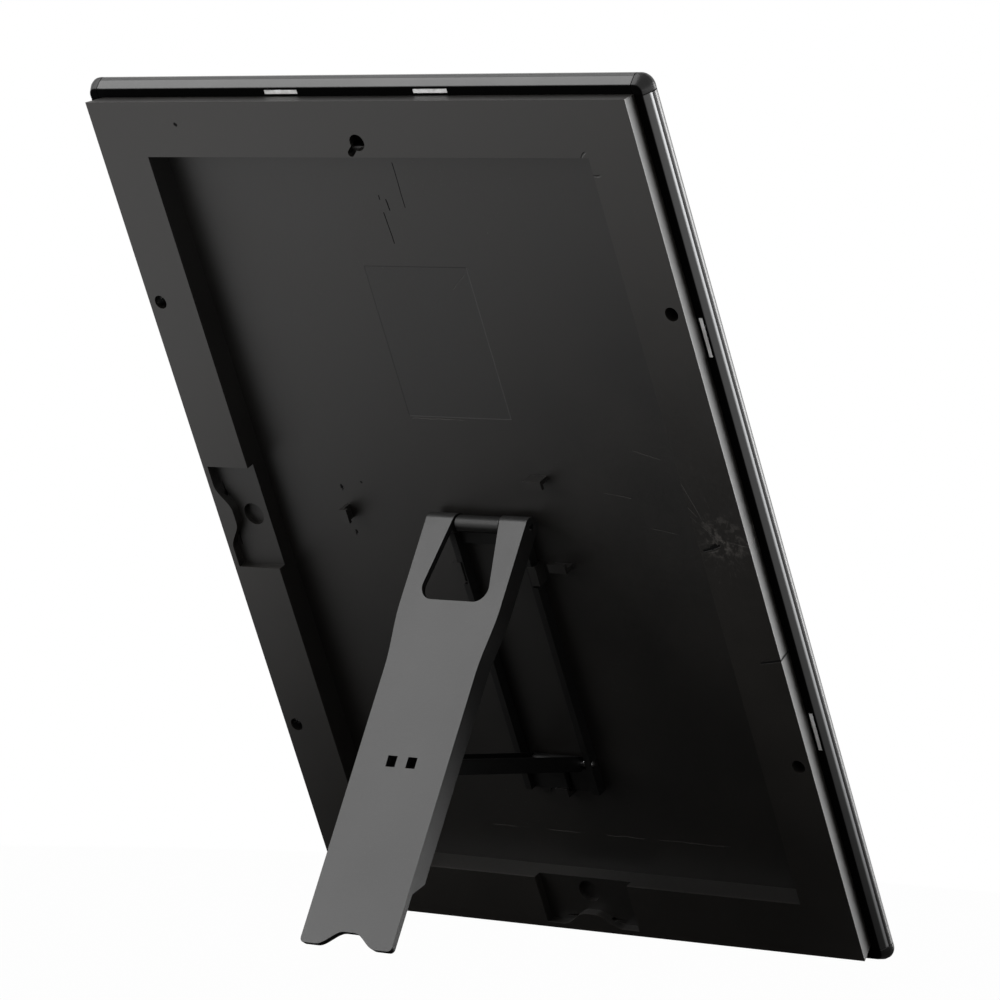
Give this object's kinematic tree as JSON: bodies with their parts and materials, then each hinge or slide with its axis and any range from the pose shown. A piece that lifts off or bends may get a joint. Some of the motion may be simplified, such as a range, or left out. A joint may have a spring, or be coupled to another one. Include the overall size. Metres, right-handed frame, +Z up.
{
  "type": "snap frame",
  "caption": "Black A4 snap frame with snap-open rails, clear cover sheet and a moulded back panel, standing on a hinged strut leg braced by a stay.",
  "frame": {"origin": "middle of the footprint, on the surface that the tray's bottom edge and the leg's foot stand on", "axes": "+Z up, -Y the way the picture faces, +X to the right as seen from the front"},
  "size_m": [0.2255, 0.1652, 0.2739],
  "materials": {
    "tray_plastic": "fine moulded satin",
    "strut_plastic": "fine moulded satin",
    "cap_plastic": "satin",
    "rail_black": "black anodised, satin",
    "spring_steel": "plain rolled",
    "pin_steel": "drawn wire",
    "clear_sheet": "clear, smooth"
  },
  "bodies": {
    "frame": {"back_panel": "tray_plastic", "cover_sheet": "clear_sheet", "base_rail_top": "rail_black", "base_rail_bottom": "rail_black", "base_rail_left": "rail_black", "base_rail_right": "rail_black", "corner_cap_top_left": "cap_plastic", "corner_cap_top_right": "cap_plastic", "corner_cap_bottom_left": "cap_plastic", "corner_cap_bottom_right": "cap_plastic", "springs_top": "spring_steel", "springs_bottom": "spring_steel", "springs_left": "spring_steel", "springs_right": "spring_steel", "strut_base": "strut_plastic", "strut_stay_pin": "pin_steel"},
    "snap_top": {"snap_rail_top": "rail_black"},
    "snap_bottom": {"snap_rail_bottom": "rail_black"},
    "snap_left": {"snap_rail_left": "rail_black"},
    "snap_right": {"snap_rail_right": "rail_black"},
    "leg": {"strut_leg": "strut_plastic", "strut_hinge_pin": "pin_steel"},
    "stay": {"strut_stay": "strut_plastic"}
  },
  "joints": [
    {"name": "snap_rail_top_hinge", "type": "hinge", "parent": "frame", "child": "snap_top", "pos_m": [0, 0.07393, 0.27233], "axis": [-1, 0, 0], "range_deg": [0, 70]},
    {"name": "snap_rail_bottom_hinge", "type": "hinge", "parent": "frame", "child": "snap_bottom", "pos_m": [0, -0.08041, 0.00164], "axis": [1, 0, 0], "range_deg": [0, 70]},
    {"name": "snap_rail_left_hinge", "type": "hinge", "parent": "frame", "child": "snap_left", "pos_m": [-0.1101, -0.00265, 0.13803], "axis": [0, -0.4953, -0.8687], "range_deg": [0, 70]},
    {"name": "snap_rail_right_hinge", "type": "hinge", "parent": "frame", "child": "snap_right", "pos_m": [0.1126, -0.00265, 0.13803], "axis": [0, 0.4953, 0.8687], "range_deg": [0, 70]},
    {"name": "leg_hinge", "type": "hinge", "parent": "frame", "child": "leg", "pos_m": [0, 0.00339, 0.13459], "axis": [1, 0, 0], "range_deg": [0, 40]},
    {"name": "stay_hinge", "type": "hinge", "parent": "frame", "child": "stay", "pos_m": [0, -0.04288, 0.05737], "axis": [1, 0, 0], "range_deg": [0, 60.5]}
  ],
  "couplings": [
    {"joint": "stay_hinge", "follows": "leg_hinge", "ratio": 1.5032}
  ]
}
